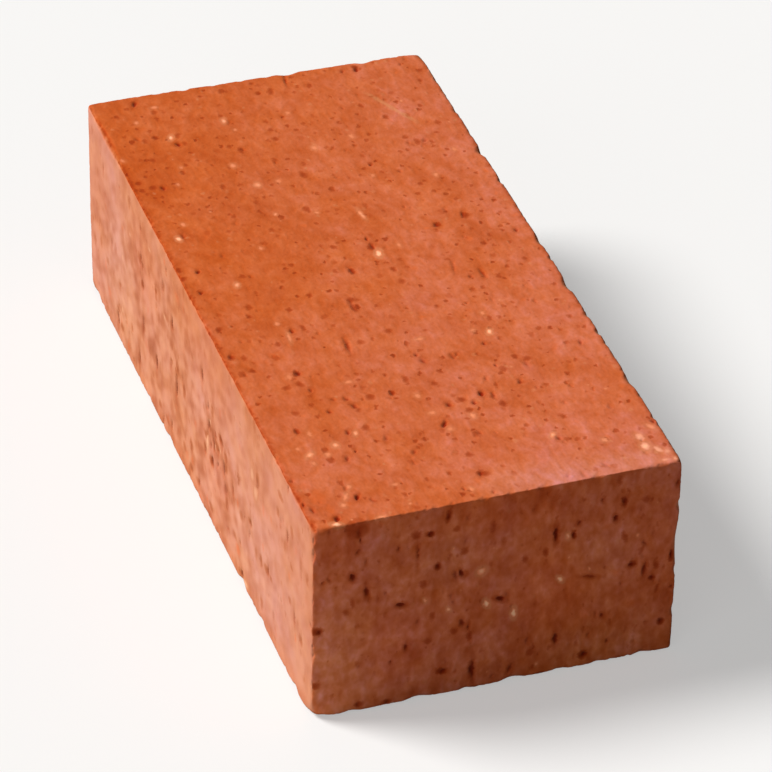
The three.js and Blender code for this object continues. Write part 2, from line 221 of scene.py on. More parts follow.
# Soft dark stains with no relief of their own: (a, b, half length, half width, degrees, strength)
STAINS = {
    "top": (
        (-2, -4, 1.1, 0.65, 0, 0.8), (6, 6.5, 1, 0.65, 0, 0.55), (10, -8, 0.91, 0.85, 90, 0.6),
        (14, -8.5, 1, 0.65, 0, 0.7), (18, -23, 1, 0.58, 0, 0.6), (28, -11.5, 0.85, 0.65, 0, 0.55),
        (25.5, -3.5, 0.85, 0.71, 0, 0.55), (46, -6, 1, 0.52, 0, 0.6), (50.5, -11, 0.85, 0.84, 0, 0.8),
        (50.5, -16.5, 0.85, 0.84, 0, 0.65), (58, 4, 1, 0.65, 0, 0.8), (62.5, 4.5, 0.85, 0.71, 0, 0.7),
        (36, -30.5, 1, 0.65, 0, 0.85), (40.5, -31, 1, 0.65, 0, 0.6), (41, -34.5, 0.85, 0.78, 0, 0.6),
        (51.5, -35.5, 0.85, 0.65, 0, 0.55), (58.5, -37.5, 1.1, 0.65, 0, 0.75),
        (62, -21.5, 0.85, 0.65, 0, 0.6), (23, -31, 1, 0.52, 0, 0.6), (79.5, -1.5, 1.1, 0.71, 0, 0.7),
        (87.5, -1, 1.2, 0.76, 90, 0.8), (-75, -27.5, 0.85, 0.65, 0, 0.6), (-63.5, -14, 1.4, 0.58, 0, 0.6),
        (-89, 2, 1.4, 0.52, 0, 0.6), (-53, -40.5, 0.85, 0.78, 0, 0.6), (-94, 27, 1, 0.78, 0, 0.8),
        (-88, 43, 0.85, 0.65, 0, 0.6), (-83, 41.5, 0.85, 0.65, 0, 0.7), (-68, 27, 0.85, 0.65, 0, 0.7),
        (-47.5, -2, 1.2, 0.65, 0, 0.6), (-32, -6, 1, 0.65, 0, 0.7), (-13.5, -5, 0.85, 0.78, 0, 0.65),
        (-10.5, 4, 1.2, 0.65, 0, 0.7), (-15.5, 23.5, 1, 0.65, 0, 0.8), (-17.5, 31.5, 1, 0.71, 0, 0.7),
        (-54, 31, 1.2, 0.78, 0, 0.55), (11, 30.5, 1.2, 0.52, 0, 0.6), (46.5, 25, 1, 0.76, 90, 0.6),
        (49, 18, 0.85, 0.78, 0, 0.6), (62.5, 13, 0.93, 0.65, 0, 0.8), (71.5, 25, 1, 0.58, 0, 0.6),
        (-56, -43.5, 0.85, 0.78, 0, 0.6), (-52.5, -43.5, 0.85, 0.65, 0, 0.6), (-15, -45, 0.85, 0.65, 0, 0.6),
        (-11, -45, 0.91, 0.85, 90, 0.6), (-3, -46, 0.85, 0.78, 0, 0.6), (13.5, -46, 0.85, 0.65, 0, 0.8),
        (13, -43, 1, 0.52, 0, 0.8), (25, -43.5, 1, 0.78, 0, 0.7), (26, -40.5, 1, 0.65, 0, 0.6),
    ),
    "front": (
        (-48, 39.5, 1.5, 1.1, 90, 0.6), (-45.5, 33, 1.3, 1.1, 90, 0.7), (-66, 6, 1.2, 1, 0, 0.7),
        (-23.5, 37, 1.4, 0.84, 0, 0.5), (-19.5, 31.5, 1.1, 1.1, 90, 0.5), (-19.5, 26.5, 1.4, 0.63, 0, 0.55),
        (14, 29.5, 1.8, 0.63, 0, 0.7), (-24, 5, 1.8, 0.7, 0, 0.5), (-79.5, 18.5, 1.1, 1, 0, 0.5),
        (11, 24.5, 1.2, 0.98, 0, 0.8), (23.5, 31.5, 1.4, 0.98, 0, 0.8), (15.5, 19.5, 1.4, 1.3, 0, 0.9),
        (20.5, 27.5, 1.4, 0.91, 0, 0.8), (27.5, 26, 1.4, 1.1, 0, 0.7), (10, 20.5, 1.1, 0.91, 0, 0.6),
        (14, 28.5, 1.4, 0.7, 0, 0.6), (30, 32.5, 1.1, 0.84, 0, 0.5), (54, 41, 1.5, 1.1, 90, 0.6),
        (72, 49, 1.5, 0.84, 0, 0.6), (70, 43, 1.2, 1, 0, 0.6), (40.5, 20.5, 1.4, 0.98, 0, 0.6),
        (48, 24, 1.5, 0.7, 0, 0.6), (61, 19, 1.5, 1, 0, 0.8), (64.5, 19, 1.2, 0.7, 0, 0.6),
        (15, 5, 1.7, 0.84, 0, 0.65), (-2.5, 5, 1.4, 1, 0, 0.65), (3, 4.5, 1.4, 0.84, 0, 0.5),
        (35, 10.5, 1.2, 0.98, 0, 0.5), (79.5, 23.5, 1.1, 1.1, 90, 0.6), (88, 18, 1.1, 1.1, 90, 0.6),
        (-8.5, 7.5, 1.2, 0.98, 0, 0.6), (-30.5, 5.5, 1.2, 0.98, 0, 0.5),
    ),
    "head": (
        (31.5, 48, 1.3, 0.48, 90, 0.8), (30, 54.5, 1.1, 0.42, 90, 0.55), (37, 47.5, 0.72, 0.6, 90, 0.6),
        (19, 41, 0.93, 0.54, 90, 0.8), (32, 37.5, 1.6, 0.48, 90, 0.65), (12, 37.5, 0.72, 0.66, 90, 0.7),
        (7, 36.5, 0.72, 0.66, 90, 0.6), (34.5, 29, 0.78, 0.72, 0, 0.9), (36.5, 32.5, 1, 0.48, 90, 0.6),
        (40.5, 27, 1, 0.48, 90, 0.65), (39.5, 23.5, 0.72, 0.72, 90, 0.8), (41, 20, 1.1, 0.48, 90, 0.6),
        (22.5, 4, 0.79, 0.72, 90, 0.8), (9, 8, 1, 0.72, 90, 0.6), (42.5, 9.5, 0.93, 0.66, 90, 0.9),
        (44.5, 29, 1.4, 0.6, 90, 0.8), (-35, 55, 1.9, 1.9, 0, 0.62), (-20.5, 50, 0.86, 0.78, 90, 0.75),
        (-17, 49.5, 0.79, 0.72, 90, 0.9), (-15, 39.5, 0.72, 0.6, 90, 0.8), (-18.5, 35, 0.79, 0.72, 90, 0.7),
        (-36, 33.5, 1.2, 0.54, 90, 0.6), (-37.5, 31, 0.79, 0.6, 90, 0.6), (-16, 25, 0.79, 0.66, 90, 0.6),
        (-6.5, 16.5, 1.1, 0.66, 90, 0.75), (-45, 27, 1.2, 0.93, 0, 0.95), (-10.5, 49.5, 0.72, 0.66, 90, 0.6),
        (-12.5, 54, 1.4, 0.48, 90, 0.6), (-1.5, 48, 1.1, 0.66, 90, 0.6), (-8.5, 42.5, 0.72, 0.66, 90, 0.55),
        (-17, 17.5, 0.72, 0.66, 90, 0.55), (-10.5, 19, 0.79, 0.72, 90, 0.6),
        (-13.5, 7.5, 0.84, 0.79, 0, 0.75), (-45, 10.5, 0.78, 0.72, 0, 0.85), (-34, 2.5, 0.96, 0.65, 0, 0.7),
        (-27, 1.5, 0.96, 0.57, 0, 0.6), (-3.5, 0, 0.9, 0.57, 0, 0.6), (12, 0.5, 0.96, 0.57, 0, 0.6),
    ),
}

# (a, b, half length, half width, degrees, how pale)
GRAINS = {
    "top": (
        (-7.5, 5, 1.15, 0.75, -12, 1.0), (-28.5, -41, 0.85, 0.65, 0, 0.9), (33, 20, 0.9, 0.65, -20, 0.9),
        (-74.5, -29.5, 0.9, 0.6, -20, 0.85), (-78.5, -14, 1.0, 0.6, -10, 0.7), (-4.5, -33, 0.8, 0.65, -15, 0.7),
        (-25.5, 6.5, 1.7, 0.5, 8, 0.6), (68.5, -37.5, 1.0, 0.7, -45, 0.65), (66.5, -30.5, 0.8, 0.75, 0, 0.7),
        (63.5, -24.5, 0.8, 0.5, -20, 0.65), (69.5, -33.5, 0.8, 0.7, 20, 0.45), (86.5, -34.5, 1.6, 0.55, -30, 0.5),
        (21, -27.5, 1.9, 0.45, -4, 0.55), (88.8, 39.4, 1.2, 1.0, -10, 0.75), (84.8, 39.4, 1.4, 1.0, 10, 0.55),
        (90.8, 41.8, 1.4, 0.7, 20, 0.55), (81.7, 43.4, 1.6, 0.8, 30, 0.40),
        (92.2, 43.6, 0.9, 0.7, 0, 0.42), (95.4, 44.4, 0.7, 0.6, 0, 0.5), (95.2, 41.8, 1.0, 0.5, 90, 0.42), (78, 20, 0.9, 0.65, -35, 0.65), (83.5, 31, 0.85, 0.8, 0, 0.5),
        (-46.5, -15, 0.9, 0.6, -15, 0.45), (96.2, -39.8, 0.9, 0.75, 60, 1.0), (96.4, -29, 0.8, 0.5, 80, 0.6),
        (14.5, -28.5, 0.89, 0.68, 0, 0.4), (53.5, -5.5, 0.97, 0.74, 0, 0.42), (31, 2.5, 1.1, 0.65, 90, 0.4),
        (37, -32.5, 1.1, 0.74, 0, 0.35), (61, -4.5, 0.99, 0.73, 90, 0.35), (60.5, -35, 1.3, 0.62, 0, 0.35),
        (43, -19.5, 1.1, 0.65, 90, 0.35), (-84, -36, 0.89, 0.68, 0, 0.4), (-90, -29.5, 1.1, 0.73, 90, 0.38),
        (-73.5, -12.5, 0.81, 0.62, 0, 0.35), (-60, -31, 0.81, 0.62, 0, 0.35), (-57, -18, 0.97, 0.74, 0, 0.5),
        (-52.5, -34, 0.81, 0.62, 0, 0.35), (-46.5, -14.5, 0.89, 0.68, 0, 0.6),
        (-46.5, -9, 1.1, 0.74, 0, 0.35), (-34.5, -38, 0.89, 0.68, 0, 0.42),
        (-18.5, -22.5, 0.81, 0.62, 0, 0.4), (-67.5, -44.5, 0.97, 0.74, 0, 0.35),
        (-77.5, 3, 0.81, 0.74, 0, 0.35), (-59, 4.5, 0.97, 0.74, 0, 0.45), (-61.5, 15.5, 1.1, 0.62, 0, 0.4),
        (-42, 15, 0.81, 0.62, 0, 0.35), (-37.5, 30.5, 0.97, 0.62, 0, 0.42), (-47.5, 39, 0.97, 0.62, 0, 0.35),
        (-9.5, 11, 0.89, 0.62, 0, 0.35), (25, 21, 0.81, 0.62, 0, 0.4), (31.5, 16.5, 0.97, 0.74, 0, 0.35),
        (65, 4.5, 1.1, 0.74, 0, 0.5), (92.5, -5.5, 0.81, 0.62, 0, 0.4), (83, -32.5, 0.81, 0.62, 0, 0.4),
        (89.5, -36, 0.81, 0.74, 0, 0.5), (85.5, -22, 0.93, 0.65, 90, 0.35),
        (68.5, -2.5, 0.81, 0.74, 0, 0.35), (72, -37.5, 0.81, 0.62, 0, 0.35),
    ),
    "front": (
        (12, 23, 1.8, 0.9, 86, 0.6), (43.5, 2, 1.8, 0.9, 10, 0.7),
        (-38.5, 48, 1.3, 0.61, 0, 0.35), (-64.5, 29, 1.1, 0.93, 90, 0.35), (-65.5, 12, 1.2, 1.1, 90, 0.4),
        (-25.5, 36, 1.2, 0.97, 0, 0.35), (40, 47, 1.2, 0.67, 0, 0.3), (49.3, 39.5, 1.9, 1.5, 84, 0.42),
        (52.3, 36, 2.2, 1.6, 84, 0.42), (14.5, 31, 0.8, 0.6, 90, 0.42), (19, 26.5, 0.9, 0.55, 96, 0.42), (23, 28, 0.8, 0.5, 90, 0.4), (11, 23, 0.93, 0.79, 0, 0.35), (-57, 41, 1.1, 0.91, 0, 0.3),
    ),
    "head": (
        (-4, 35.5, 1.1, 0.95, 40, 0.55), (4.5, 21, 1.1, 0.6, 92, 0.85), (-2.5, 25.5, 0.9, 0.6, 108, 0.8),
        (16, 28.5, 0.8, 0.5, 126, 0.8), (17.5, 41, 0.7, 0.45, 99, 0.6), (-12, 26, 0.6, 0.45, 116, 0.6),
        (-18, 30, 0.65, 0.4, 121, 0.5),
    ),
}

# Small iron-rich inclusions that fired a brighter orange.
OCHRE = {
    "top": (
        (27.5, -33, 2.0, 0.55, -20, 0.8), (37.5, -32.5, 1.1, 0.8, 0, 0.8), (-7, 29, 1.4, 1.0, 0, 0.7),
        (-46.5, -8.5, 1.2, 0.8, -50, 0.5), (57, 5.5, 1.4, 0.8, 10, 0.4), (-83, -24, 1.2, 0.8, 0, 0.5),
        (27.5, -33, 1.5, 0.85, 0, 0.5), (-28.5, -34, 3.7, 1.6, 0, 0.4), (85, -41, 3.7, 2.1, 0, 0.55), (90, -39.5, 2.3, 0.99, 0, 0.5), (79.5, -42, 1.8, 1.4, 0, 0.4),
    ),
    "front": (
        (-60, 4, 2.6, 1.2, 92, 0.6), (-2, 8, 2.0, 1.0, 90, 0.6),
        (-14, 49.5, 2.2, 1.7, 0, 0.5), (-78, 9.5, 1.9, 1.5, 0, 0.55), (37.5, 8, 2.2, 1.9, 0, 0.8),
        (-42.5, 16, 1.6, 1.5, 0, 0.4), (5.5, 0.5, 1.6, 1.6, 90, 0.5), (-6, 6.5, 1.6, 1.5, 0, 0.4),
        (-23, 5.5, 1.6, 1.2, 0, 0.4),
    ),
    "head": ((-28, 47.5, 0.9, 0.87, 90, 0.45), (-36, 33.5, 0.9, 0.75, 90, 0.3), (-6.5, 15.5, 1, 0.75, 90, 0.3)),
}


def scatter(rng, face, count, size, stretch, lean, depth, bias=None):
    """count more marks on a face, at random. size and depth are (least, most), stretch is how much longer than wide, and lean the degrees they run at."""
    _, _, _, u, v = FACES[FACE_ID[face]]
    out = []
    while len(out) < count:
        a = rng.uniform(LOW[u], HIGH[u])
        b = rng.uniform(LOW[v], HIGH[v])
        if bias is not None and rng.random() > bias(a, b):
            continue
        s = size[0] + (size[1] - size[0]) * rng.random() ** 2.2
        k = 1 + (rng.uniform(*stretch) - 1)
        d = depth[0] + (depth[1] - depth[0]) * rng.random() ** 1.5
        out.append((a, b, s * k, s, lean + rng.normal() * 12, d * min(1.0, s / 0.4)))
    return out


def marks(rows_by_face):
    """Marks as arrays: centre, three unit directions, three radii, strength."""
    centre, frames, radii, strength = [], [], [], []
    for face, rows in rows_by_face.items():
        _, axis, side, u, v = FACES[FACE_ID[face]]
        for a, b, la, lb, deg, s in rows:
            c = np.zeros(3)
            c[u], c[v] = a, b
            c[axis] = HIGH[axis] if side > 0 else LOW[axis]
            t1, t2, n = np.zeros(3), np.zeros(3), np.zeros(3)
            ca, sa = math.cos(math.radians(deg)), math.sin(math.radians(deg))
            t1[u], t1[v] = ca, sa
            t2[u], t2[v] = -sa, ca
            n[axis] = side
            centre.append(c)
            frames.append((t1, t2, n))
            radii.append((la, lb, max(lb, 0.7)))
            strength.append(s)
    return (np.array(centre), np.array(frames), np.array(radii), np.array(strength))


def spread(points, order, xs, table, sharp, times=1.0):
    """The strongest mark at each point, 1 at a mark's middle and 0 beyond its radii, times its strength."""
    out = np.zeros(len(points))
    centre, frames, radii, strength = table
    for c, fr, r, s in zip(centre, frames, radii, strength):
        r = r * times
        reach = r.max()
        a, b = np.searchsorted(xs, (c[0] - reach, c[0] + reach))
        if a == b:
            continue
        idx = order[a:b]
        d = points[idx] - c
        near = (np.abs(d[:, 1]) < reach) & (np.abs(d[:, 2]) < reach)
        idx, d = idx[near], d[near]
        q = (d @ fr.T) / r
        u2 = (q * q).sum(1)
        inside = u2 < 1
        if inside.any():
            idx = idx[inside]
            out[idx] = np.maximum(out[idx], s * (1 - u2[inside]) ** sharp)
    return out


rng = np.random.default_rng(20)
front_half = lambda a, b: 0.35 + 0.65 * smooth(np.array(a), -60, 60)
wider = {"top": 1.2, "front": 1.7, "head": 1.2}
pits = {k: [(a, b, la * 1.15, lb * wider[k], deg, d * 0.8) for a, b, la, lb, deg, d in v] for k, v in PITS.items()}
pits["top"] += scatter(rng, "top", 110, (0.3, 0.75), (1.2, 2.4), 0, (0.15, 0.5), front_half)
pits["front"] += scatter(rng, "front", 40, (0.35, 0.7), (1.5, 5.0), 90, (0.15, 0.5))
pits["head"] += scatter(rng, "head", 55, (0.3, 0.65), (1.2, 3.5), 90, (0.15, 0.5))
pits["back"] = scatter(rng, "back", 110, (0.3, 0.65), (1.5, 6.0), 90, (0.2, 0.7))
pits["tail"] = scatter(rng, "tail", 100, (0.3, 0.75), (1.0, 4.0), 90, (0.2, 0.8))
pits["bottom"] = scatter(rng, "bottom", 130, (0.35, 0.8), (1.0, 2.2), 0, (0.2, 0.7))
grains = {k: [(a, b, la * (1.5 if d > 0.55 else 1.25), lb * 1.2, deg, d * {"top": 1.0, "front": 0.9, "head": 1.3}[k]) for a, b, la, lb, deg, d in v] for k, v in GRAINS.items()}
grains["top"] += scatter(rng, "top", 26, (0.3, 0.6), (1.0, 1.8), 0, (0.25, 0.6))
grains["head"] += scatter(rng, "head", 16, (0.3, 0.55), (1.0, 2.0), 90, (0.25, 0.6))
grains["front"] += scatter(rng, "front", 14, (0.3, 0.5), (1.5, 4.0), 90, (0.25, 0.5))
grains["back"] = scatter(rng, "back", 22, (0.35, 0.8), (1.5, 3.0), 90, (0.3, 0.9))
grains["tail"] = scatter(rng, "tail", 22, (0.35, 0.9), (1.0, 2.0), 90, (0.3, 0.9))
grains["bottom"] = scatter(rng, "bottom", 40, (0.35, 0.9), (1.0, 1.8), 0, (0.3, 0.9))
ochre = {k: list(v) for k, v in OCHRE.items()}
ochre["top"] += scatter(rng, "top", 26, (0.5, 1.1), (1.0, 1.8), 0, (0.25, 0.6))
ochre["head"] += scatter(rng, "head", 10, (0.5, 1.0), (1.0, 2.0), 90, (0.25, 0.6))
ochre["front"] += scatter(rng, "front", 14, (0.5, 1.0), (1.5, 3.0), 90, (0.25, 0.6))
ochre["back"] = scatter(rng, "back", 16, (0.5, 1.2), (1.5, 3.0), 90, (0.3, 0.7))
ochre["tail"] = scatter(rng, "tail", 12, (0.5, 1.2), (1.0, 2.0), 90, (0.3, 0.7))
ochre["bottom"] = scatter(rng, "bottom", 24, (0.5, 1.2), (1.0, 2.0), 0, (0.3, 0.7))
larger = {"top": 1.35, "front": 1.35, "head": 1.5}
stains = {
    k: [
        (a, b, la * larger[k] * rng.uniform(0.8, 1.3), lb * larger[k] * rng.uniform(0.85, 1.2), deg + rng.normal() * 12, min(1.15, s * 1.3))
        for a, b, la, lb, deg, s in v
    ]
    for k, v in STAINS.items()
}
for k in ("back", "tail", "bottom"):
    stains[k] = scatter(rng, k, 40, (0.6, 1.2), (1.0, 2.0), 0 if k == "bottom" else 90, (0.3, 0.9))
PIT_TABLE, GRAIN_TABLE, OCHRE_TABLE, STAIN_TABLE = marks(pits), marks(grains), marks(ochre), marks(stains)

# Small crumbs lost from the arrises, each placed on one of the two faces that meet there.
chips = {}
for name, axis, side, u, v in FACES:
    rows = []
    for _ in range(int((HIGH[u] - LOW[u] + HIGH[v] - LOW[v]) / 6.5)):
        s = 0.4 + 0.8 * rng.random() ** 2
        run_u = rng.random() < (HIGH[u] - LOW[u]) / (HIGH[u] - LOW[u] + HIGH[v] - LOW[v])
        a = rng.uniform(LOW[u], HIGH[u]) if run_u else (LOW[u], HIGH[u])[rng.integers(2)]
        b = rng.uniform(LOW[v], HIGH[v]) if not run_u else (LOW[v], HIGH[v])[rng.integers(2)]
        rows.append((a, b, s * rng.uniform(1.0, 2.0), s, 0 if run_u else 90, rng.uniform(0.1, 0.35)))
    chips[name] = rows
CHIP_TABLE = marks(chips)

# ---- facet sizes ----------------------------------------------------------
# Each face has a map of how small its facets should be: fine at a mark and
# along an arris, coarse between them, and coarser on the hidden faces.

CELL = 0.25
HALO = 1.9                  # how far a mark's stain reaches, in its own radii
SHOWN = ("top", "front", "head")
size_maps = []
for name, axis, side, u, v in FACES:
    us = np.arange(LOW[u] + CELL / 2, HIGH[u], CELL)
    vs = np.arange(LOW[v] + CELL / 2, HIGH[v], CELL)
    shown = name in SHOWN
    field = np.full((len(us), len(vs)), 1.5 if shown else 2.1)
    edge = np.minimum(
        np.minimum(us - LOW[u], HIGH[u] - us)[:, None],
        np.minimum(vs - LOW[v], HIGH[v] - vs)[None, :],
    )
    field = np.where(edge < 2.6, np.minimum(field, 0.8 if shown else 1.05), field)
    field = np.where(edge < 1.5, 0.51 if shown else 0.72, field)
    field = np.where((edge < 0.8) & shown, 0.36, field)
    rows = [(r, HALO, 0.51) for r in pits.get(name, ()) + grains.get(name, ())]
    rows += [(r, 1.0, 0.36) for r in pits.get(name, ()) + grains.get(name, ())]
    rows += [(r, 1.0, 0.51) for r in stains[name]]
    for (a, b, la, lb, deg, s), times, fine in rows:
            if times > 1 and (not shown or lb < 0.45):
                continue
            la, lb = la * times, lb * times
            reach = la + 0.5
            i0, i1 = np.searchsorted(us, (a - reach, a + reach))
            j0, j1 = np.searchsorted(vs, (b - reach, b + reach))
            if i0 == i1 or j0 == j1:
                continue
            da, db = us[i0:i1, None] - a, vs[None, j0:j1] - b
            ca, sa = math.cos(math.radians(deg)), math.sin(math.radians(deg))
            q = np.hypot((da * ca + db * sa) / (la + 0.3), (db * ca - da * sa) / (lb + 0.3))
            want = (fine if name != "front" else fine * 1.42) if shown else 0.72
            if fine == 0.36 and name in ("top", "head") and lb < 0.5 and s > 0.45:
                want = 0.26
            window = field[i0:i1, j0:j1]
            window[q < 1] = np.minimum(window[q < 1], want)
    size_maps.append((field, LOW[u], LOW[v], u, v))


def sliding_min(a, k, axis):
    """The least value within k cells each way."""
    a = np.moveaxis(a, axis, 0)
    pad = np.concatenate([np.repeat(a[:1], k, 0), a, np.repeat(a[-1:], k, 0)])
    width, span = 2 * k + 1, 1
    while span * 2 <= width:
        pad = np.minimum(pad[:-span], pad[span:])
        span *= 2
    rest = width - span
    if rest:
        pad = np.minimum(pad[:-rest], pad[rest:])
    return np.moveaxis(pad, 0, axis)


pooled = {}


def wanted_size(middle, face, leg):
    out = np.empty(len(middle))
    level = np.round(np.log2(leg) * 2).astype(int)
    for f in range(6):
        field, lu, lv, u, v = size_maps[f]
        for lev in np.unique(level[face == f]):
            pick = (face == f) & (level == lev)
            k = int(round(0.45 * 2 ** (lev / 2) / CELL))
            if (f, k) not in pooled:
                m = field
                if k:
                    m = sliding_min(sliding_min(m, k, 0), k, 1)
                pooled[f, k] = m
            m = pooled[f, k]
            i = np.clip(((middle[pick, u] - lu) / CELL).astype(int), 0, m.shape[0] - 1)
            j = np.clip(((middle[pick, v] - lv) / CELL).astype(int), 0, m.shape[1] - 1)
            out[pick] = m[i, j]
    return out


# ---- the sharp block, then its facets halved where they must be small ------

COUNTS = (17, 8, 5)


def block():
    """The sharp-edged block as right triangles. Each triangle's first two corners are its longest side."""
    index, points, tris, owner = {}, [], [], []

    def corner(ijk):
        if ijk not in index:
            index[ijk] = len(points)
            points.append([LOW[k] + (HIGH[k] - LOW[k]) * ijk[k] / COUNTS[k] for k in range(3)])
        return index[ijk]

    for f, (_, axis, side, u, v) in enumerate(FACES):
        for i in range(COUNTS[u]):
            for j in range(COUNTS[v]):
                def at(di, dj):
                    ijk = [0, 0, 0]
                    ijk[u], ijk[v] = i + di, j + dj
                    ijk[axis] = COUNTS[axis] if side > 0 else 0
                    return corner(tuple(ijk))

                a, b, c, d = at(0, 0), at(1, 0), at(1, 1), at(0, 1)
                pair = [(c, a, b), (a, c, d)]
                if (i + j) % 2:
                    pair = [(d, b, c), (b, d, a)]
                n = np.cross(
                    np.subtract(points[b], points[a]), np.subtract(points[d], points[a])
                )
                if n[axis] * side < 0:
                    pair = [(q, p, r) for p, q, r in pair]
                tris += pair
                owner += [f, f]
    return np.array(points), np.array(tris), np.array(owner)


def refine(points, tris, owner):
    """Halves triangles across their longest side until each is as small as its place asks, with no gaps."""
    while True:
        ends = points[tris]
        leg = np.linalg.norm(ends[:, 0] - ends[:, 1], axis=1) / math.sqrt(2)
        mark = leg > wanted_size(ends.mean(1), owner, leg) * 1.02
        if not mark.any():
            return points, tris, owner
        sides = np.stack([tris[:, [0, 1]], tris[:, [1, 2]], tris[:, [2, 0]]])
        sides = np.sort(sides, axis=2)
        key = sides[..., 0].astype(np.int64) * len(points) + sides[..., 1]
        uniq, inverse = np.unique(key, return_inverse=True)
        inverse = inverse.reshape(key.shape)
        cut = np.zeros(len(uniq), bool)
        cut[inverse[0][mark]] = True
        while True:
            late = cut[inverse].any(0) & ~cut[inverse[0]]
            if not late.any():
                break
            cut[inverse[0][late]] = True
        fresh = np.full(len(uniq), -1, np.int64)
        fresh[cut] = np.arange(cut.sum()) + len(points)
        first, second = uniq[cut] // len(points), uniq[cut] % len(points)
        new_points = (points[first] + points[second]) / 2
        m0, m1, m2 = fresh[inverse]
        keep = m0 < 0
        out, own = [tris[keep]], [owner[keep]]
        a, b, c, m = tris[~keep, 0], tris[~keep, 1], tris[~keep, 2], m0[~keep]
        o = owner[~keep]
        for p, q, r, mid in ((c, a, m, m2[~keep]), (b, c, m, m1[~keep])):
            k = mid < 0
            out.append(np.stack([p[k], q[k], r[k]], 1))
            own.append(o[k])
            k = ~k
            out.append(np.stack([r[k], p[k], mid[k]], 1))
            own.append(o[k])
            out.append(np.stack([q[k], r[k], mid[k]], 1))
            own.append(o[k])
        tris = np.concatenate(out)
        owner = np.concatenate(own)
        points = np.concatenate([points, new_points])


points, tris, owner = refine(*block())

# ---- from the sharp block to the worn brick --------------------------------

grit, relief, wave, warp_x, warp_y, warp_z = (Noise(s) for s in (11, 12, 13, 14, 15, 16))

gap = np.minimum(points - LOW, HIGH - points)
side_of = np.where(points - LOW < HIGH - points, -1, 1)
run = gap.argmax(1)
radius = np.full(len(points), 1.0)
rough = 0.45 * np.clip(grit.fbm(points / 2.2, 3), 0, 1) + 0.5 * np.clip(
    grit.fbm(points / 9.0 + 40, 2) - 0.15, 0, 1
)
for axis in range(3):
    a0, a1 = [k for k in range(3) if k != axis]
    for s0 in (-1, 1):
        for s1 in (-1, 1):
            pick = (run == axis) & (side_of[:, a0] == s0) & (side_of[:, a1] == s1)
            radius[pick] = arris_radius(axis, s0, s1, points[pick, axis], rough[pick])
centre = np.clip(points, LOW + radius[:, None], HIGH - radius[:, None])
normal = points - centre
normal /= np.linalg.norm(normal, axis=1, keepdims=True)
worn = centre + normal * radius[:, None]

edge_gap = np.sort(gap, axis=1)[:, 1]          # how far each point is from its nearest arris
weight = np.abs(normal) ** 3
weight /= weight.sum(1, keepdims=True)
on_end, on_flank, on_bed = weight.T            # header, stretcher and bed, blended over the arrises
# The stretchers' pale skin, partly their own paler fired skin and partly painted grazing sheen. Towards the -X end it
# laps over the arris a little, and it thins out near the bottom.
lap = smooth(-points[:, 0], 50, 72) * (0.9 + 1.3 * wave.fbm(points / np.array([7.0, 2.0, 2.0]), 2))
over = smooth(lap, 0.1, 0.8)
lap = np.clip(lap, 0.2, 2.4)
skin = smooth(np.abs(normal[:, 1]), 0.50, 0.95)
bare = 0.08 + 0.3 * np.clip(wave.fbm(points / np.array([4.0, 2.0, 2.0]) + 3, 2), -0.5, 1)
skin *= 1 - (1 - over) * (1 - smooth(HIGH[2] - points[:, 2], bare * 0.3, bare + 0.5))
skin = np.maximum(skin, over * (1 - smooth(gap[:, 1], lap * 0.3, lap + 0.4)) * smooth(points[:, 2], 40, 50))
thin = 0.14 + 0.18 * smooth(points[:, 0], -75, -25)
skin *= 1 - thin * (1 - smooth(points[:, 2] + 2.5 * relief.fbm(points / 6.0 + 5, 2), 0.5, 6.5))

# Marks have ragged outlines: each point looks for them a little to one side.
ragged = points + 0.22 * np.stack(
    [warp_x(points / 0.9), warp_y(points / 0.9), warp_z(points / 0.9)], 1
) + 0.12 * np.stack([warp_x(points / 0.35), warp_y(points / 0.35), warp_z(points / 0.35)], 1)
order = np.argsort(ragged[:, 0], kind="stable")
xs = ragged[order, 0]
pit = spread(ragged, order, xs, PIT_TABLE, 1.15)
grain = spread(ragged, order, xs, GRAIN_TABLE, 1.0)
ochre_at = spread(ragged, order, xs, OCHRE_TABLE, 0.7)
stain_at = spread(ragged, order, xs, STAIN_TABLE, 0.65)
chip = spread(ragged, order, xs, CHIP_TABLE, 0.8)
pit_halo = spread(ragged, order, xs, PIT_TABLE, 0.9, HALO)
grain_halo = spread(ragged, order, xs, GRAIN_TABLE, 0.9, HALO)

# How far each point is pressed in from the worn block, all in millimetres.
sink = 0.03 + np.zeros(len(points))
sink += 0.05 * (1 + wave.fbm(points / 42.0, 2))
sink += 0.035 * (1 + relief.fbm(points / 7.0, 3))
along = points * np.array([1 / 5.0, 1 / 5.0, 1 / 20.0])
sink += (on_flank + 0.4 * on_end) * 0.07 * (1 + wave.fbm(along + 9, 2))
across = points * np.array([1 / 45.0, 1 / 5.0, 1 / 5.0])
sink += on_bed * 0.03 * (1 + wave.fbm(across + 21, 2))
crumble = (1 - smooth(edge_gap, 0.5, 2.0)) * np.clip(grit.fbm(points / 1.1 + 70, 2), 0, 1)
sink += 0.14 * crumble
sink += np.minimum(np.maximum(pit, chip), 0.45 * radius + 0.7 * smooth(edge_gap - radius, 0, 1.6))

shape = worn - normal * sink[:, None]

# Firing left the far header a millimetre out of square in plan.
t = smooth(-points[:, 0], 45, 97)
shape[:, 0] += t * 1.2 * (points[:, 1] - LOW[1]) / (HIGH[1] - LOW[1])

mesh = bpy.data.meshes.new("clay_brick")
mesh.vertices.add(len(shape))
mesh.vertices.foreach_set("co", (shape / 1000.0).astype(np.float32).ravel())
mesh.loops.add(len(tris) * 3)
mesh.loops.foreach_set("vertex_index", tris.astype(np.int32).ravel())
mesh.polygons.add(len(tris))
mesh.polygons.foreach_set("loop_start", np.arange(0, len(tris) * 3, 3, dtype=np.int32))
mesh.polygons.foreach_set("use_smooth", np.ones(len(tris), bool))
mesh.update(calc_edges=True)

